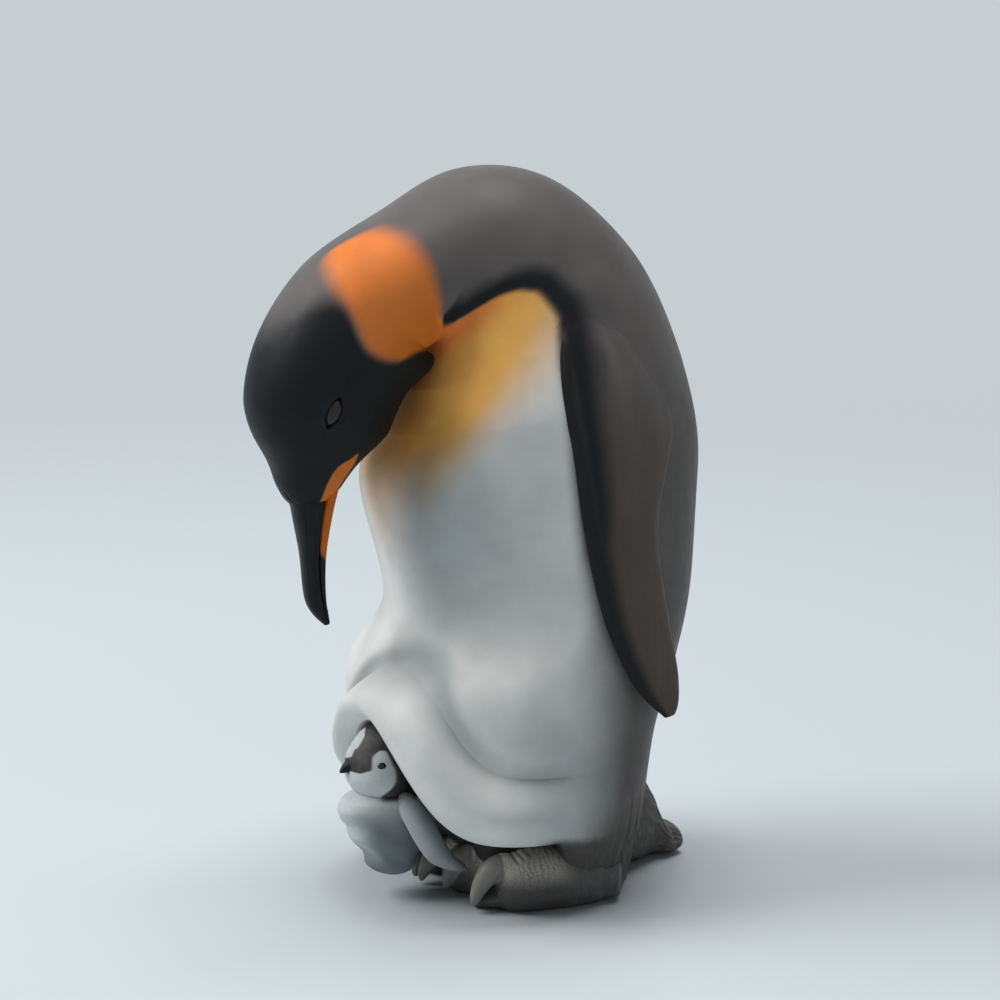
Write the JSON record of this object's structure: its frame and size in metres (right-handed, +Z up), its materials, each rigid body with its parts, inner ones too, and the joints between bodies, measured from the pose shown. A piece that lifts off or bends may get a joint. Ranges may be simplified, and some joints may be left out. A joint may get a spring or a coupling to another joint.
{
  "type": "penguin figurine",
  "caption": "Free-standing painted penguin ornament bowing its head over a chick that peeps out under the fold of its belly skin.",
  "frame": {"origin": "on the table, under the middle of the figurine's box", "axes": "+Z up, the figurine looks along -Y and its left side is +X"},
  "size_m": [0.0556, 0.0776, 0.1189],
  "materials": {
    "white_plumage": "airbrushed white resin, satin",
    "hood_black": "airbrushed black resin, satin",
    "back_grey": "airbrushed warm grey resin, satin",
    "bill_black": "painted horn black, satin",
    "bill_orange": "painted orange, satin",
    "foot_skin": "painted dark grey scaly skin, matt",
    "chick_down": "painted pale grey down, matt",
    "chick_mask": "painted dark brown, matt",
    "eye_black": "black, glossy",
    "brass": "drawn brass rod"
  },
  "bodies": {
    "root": {"torso": "white_plumage", "head": "hood_black", "upper_bill": "bill_black", "lower_bill": "bill_orange", "eye_left": "eye_black", "eye_right": "eye_black", "flipper_left": "back_grey", "flipper_right": "back_grey", "tail": "back_grey", "foot_left": "foot_skin", "foot_right": "foot_skin", "chick_body": "chick_down", "chick_head": "chick_down", "chick_bill": "chick_mask", "chick_eye_left": "eye_black", "chick_eye_right": "eye_black", "chick_flipper_left": "chick_down", "chick_flipper_right": "chick_down", "neck_dowel": "brass", "flipper_dowel_left": "brass", "flipper_dowel_right": "brass", "tail_dowel": "brass", "foot_dowel_left": "brass", "foot_dowel_right": "brass", "chick_dowel": "brass", "chick_neck_dowel": "brass"}
  },
  "joints": []
}
